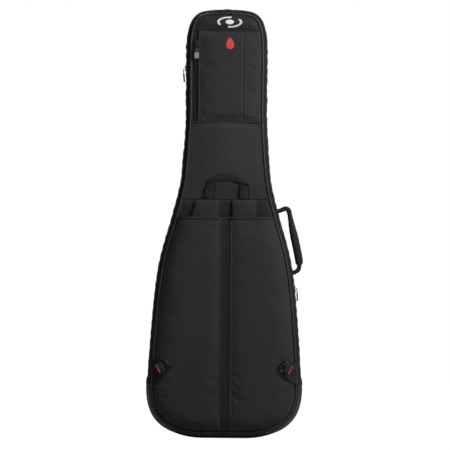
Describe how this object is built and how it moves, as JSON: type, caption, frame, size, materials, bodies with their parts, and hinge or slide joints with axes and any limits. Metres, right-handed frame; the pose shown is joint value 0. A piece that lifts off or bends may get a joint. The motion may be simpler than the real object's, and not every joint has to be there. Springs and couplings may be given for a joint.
{
  "type": "padded gig bag",
  "caption": "Padded guitar gig bag with a zipped fold-down lid, stowable shoulder straps, carry handles, rain-cover pocket and strap rings.",
  "frame": {"origin": "centre of the flat rest face under the bottom scuff guard", "axes": "+Z to the head end, +Y out of the front lid, -Y out of the strap side, +X towards the side with the carry handle; the main zipper lies in the plane y = 0"},
  "size_m": [0.3846, 0.1554, 1.06],
  "materials": {
    "nylon": "dense black nylon weave, dull",
    "ripstop": "smoother black lining-weight nylon",
    "piping": "cord covered in dark grey coated fabric, slight sheen",
    "scuff_rubber": "black moulded scuff guard, matte grain",
    "zip_tape": "black zipper tape with nylon coil",
    "webbing": "black polypropylene webbing",
    "mesh_pad": "black spacer-mesh padded strap",
    "lining": "charcoal brushed plush lining",
    "foam_cover": "charcoal plush over foam",
    "rain_nylon": "folded red coated nylon",
    "slider_metal": "black enamelled die-cast slider",
    "pull_rubber": "grey moulded grip on black cord",
    "hardware": "black acetal, fine matte",
    "ring_metal": "black nickel plated wire"
  },
  "bodies": {
    "shell": {"rear_panel": "nylon", "rear_gusset": "nylon", "bottom_gusset": "nylon", "front_panel_lower": "nylon", "head_cap_panel": "nylon", "head_pocket_panel": "nylon", "stow_pocket_left": "nylon", "stow_pocket_right": "nylon", "anchor_tab_left": "nylon", "anchor_tab_right": "nylon", "strap_yoke": "ripstop", "spine_channel": "ripstop", "rear_piping": "piping", "front_piping_lower": "piping", "bottom_guard": "scuff_rubber", "main_zip_half_rear": "zip_tape", "head_pocket_zip": "zip_tape", "yoke_welt": "webbing", "strap_webbing_left": "webbing", "strap_webbing_right": "webbing", "stow_pocket_hem": "webbing", "anchor_loop_left": "webbing", "anchor_loop_right": "webbing", "side_handle_anchor_top": "webbing", "side_handle_anchor_bottom": "webbing", "neck_strap": "webbing", "shoulder_strap_left": "mesh_pad", "shoulder_strap_right": "mesh_pad", "rear_lining": "lining", "neck_cradle": "foam_cover", "end_block": "foam_cover", "rain_cover": "rain_nylon"},
    "lid": {"front_panel": "nylon", "front_gusset": "nylon", "front_piping": "piping", "main_zip_half_front": "zip_tape", "lid_lining": "lining", "front_body_pocket": "nylon", "front_pocket_zip": "zip_tape"},
    "grab_handle": {"grab_handle_webbing": "webbing", "grab_handle_wrap": "nylon"},
    "side_handle": {"side_handle_webbing": "webbing", "side_handle_grip": "nylon"},
    "head_zip_slider": {"head_zip_slider": "slider_metal"},
    "head_zip_pull": {"head_zip_pull": "pull_rubber"},
    "main_zip_slider_left": {"main_zip_slider_left": "slider_metal"},
    "main_zip_pull_left": {"main_zip_pull_left": "pull_rubber"},
    "main_zip_slider_right": {"main_zip_slider_right": "slider_metal"},
    "main_zip_pull_right": {"main_zip_pull_right": "pull_rubber"},
    "d_ring_left": {"d_ring_left": "ring_metal"},
    "d_ring_right": {"d_ring_right": "ring_metal"},
    "ladder_lock_left": {"ladder_lock_left": "hardware"},
    "ladder_lock_right": {"ladder_lock_right": "hardware"},
    "snap_hook_left": {"snap_hook_left": "ring_metal"},
    "snap_hook_right": {"snap_hook_right": "ring_metal"},
    "hang_loop": {"hang_loop": "webbing"},
    "front_zip_slider": {"front_zip_slider": "slider_metal"},
    "front_zip_pull": {"front_zip_pull": "pull_rubber"}
  },
  "joints": [
    {"name": "lid_fold", "type": "hinge", "parent": "shell", "child": "lid", "pos_m": [0, 0.0532, 0.135], "axis": [-1, 0, 0], "range_deg": [0, 97]},
    {"name": "grab_handle_swing", "type": "hinge", "parent": "shell", "child": "grab_handle", "pos_m": [0, -0.058, 0.5955], "axis": [1, 0, 0], "range_deg": [0, 90]},
    {"name": "side_handle_swing", "type": "hinge", "parent": "shell", "child": "side_handle", "pos_m": [0.138, -0.022, 0.565], "axis": [0.2445, 0, -0.9697], "range_deg": [-70, 70]},
    {"name": "d_ring_left_swing", "type": "hinge", "parent": "shell", "child": "d_ring_left", "pos_m": [-0.1523, -0.0782, 0.1774], "axis": [0.4679, 0, -0.8838], "range_deg": [0, 140]},
    {"name": "d_ring_right_swing", "type": "hinge", "parent": "shell", "child": "d_ring_right", "pos_m": [0.1523, -0.0782, 0.1774], "axis": [0.4679, 0, 0.8838], "range_deg": [0, 140]},
    {"name": "head_zip_run", "type": "slide", "parent": "shell", "child": "head_zip_slider", "axis": [0, 0, 1], "range_m": [-0.172, 0.006]},
    {"name": "head_zip_pull_swing", "type": "hinge", "parent": "head_zip_slider", "child": "head_zip_pull", "pos_m": [-0.075, -0.0628, 0.9725], "axis": [-1, 0, 0], "range_deg": [0, 90]},
    {"name": "main_zip_left_run", "type": "slide", "parent": "shell", "child": "main_zip_slider_left", "axis": [0, 0, 1], "range_m": [-0.1, 0.03]},
    {"name": "main_zip_left_pull_swing", "type": "hinge", "parent": "main_zip_slider_left", "child": "main_zip_pull_left", "pos_m": [-0.1062, 0, 0.9128], "axis": [0, 1, 0], "range_deg": [0, 90]},
    {"name": "main_zip_right_run", "type": "slide", "parent": "shell", "child": "main_zip_slider_right", "axis": [-0.114, 0, 0.9935], "range_m": [-0.03, 0.03]},
    {"name": "main_zip_right_pull_swing", "type": "hinge", "parent": "main_zip_slider_right", "child": "main_zip_pull_right", "pos_m": [0.1773, 0, 0.3704], "axis": [0, -1, 0], "range_deg": [0, 90]},
    {"name": "front_zip_run", "type": "slide", "parent": "lid", "child": "front_zip_slider", "axis": [-1, 0, 0], "range_m": [0, 0.17]},
    {"name": "front_zip_pull_swing", "type": "hinge", "parent": "front_zip_slider", "child": "front_zip_pull", "pos_m": [0.0858, 0.0582, 0.528], "axis": [0, 0, -1], "range_deg": [0, 90]},
    {"name": "ladder_lock_left_run", "type": "slide", "parent": "shell", "child": "ladder_lock_left", "axis": [0, 0, 1], "range_m": [-0.045, 0.014]},
    {"name": "ladder_lock_right_run", "type": "slide", "parent": "shell", "child": "ladder_lock_right", "axis": [0, 0, 1], "range_m": [-0.045, 0.014]},
    {"name": "snap_hook_left_swivel", "type": "hinge", "parent": "shell", "child": "snap_hook_left", "pos_m": [-0.0465, -0.0632, 0.07], "axis": [0, 0, 1], "continuous": true},
    {"name": "snap_hook_right_swivel", "type": "hinge", "parent": "shell", "child": "snap_hook_right", "pos_m": [0.0465, -0.0632, 0.07], "axis": [0, 0, 1], "continuous": true},
    {"name": "hang_loop_swing", "type": "hinge", "parent": "shell", "child": "hang_loop", "pos_m": [0, -0.0574, 1.0449], "axis": [1, 0, 0], "range_deg": [0, 100]}
  ]
}
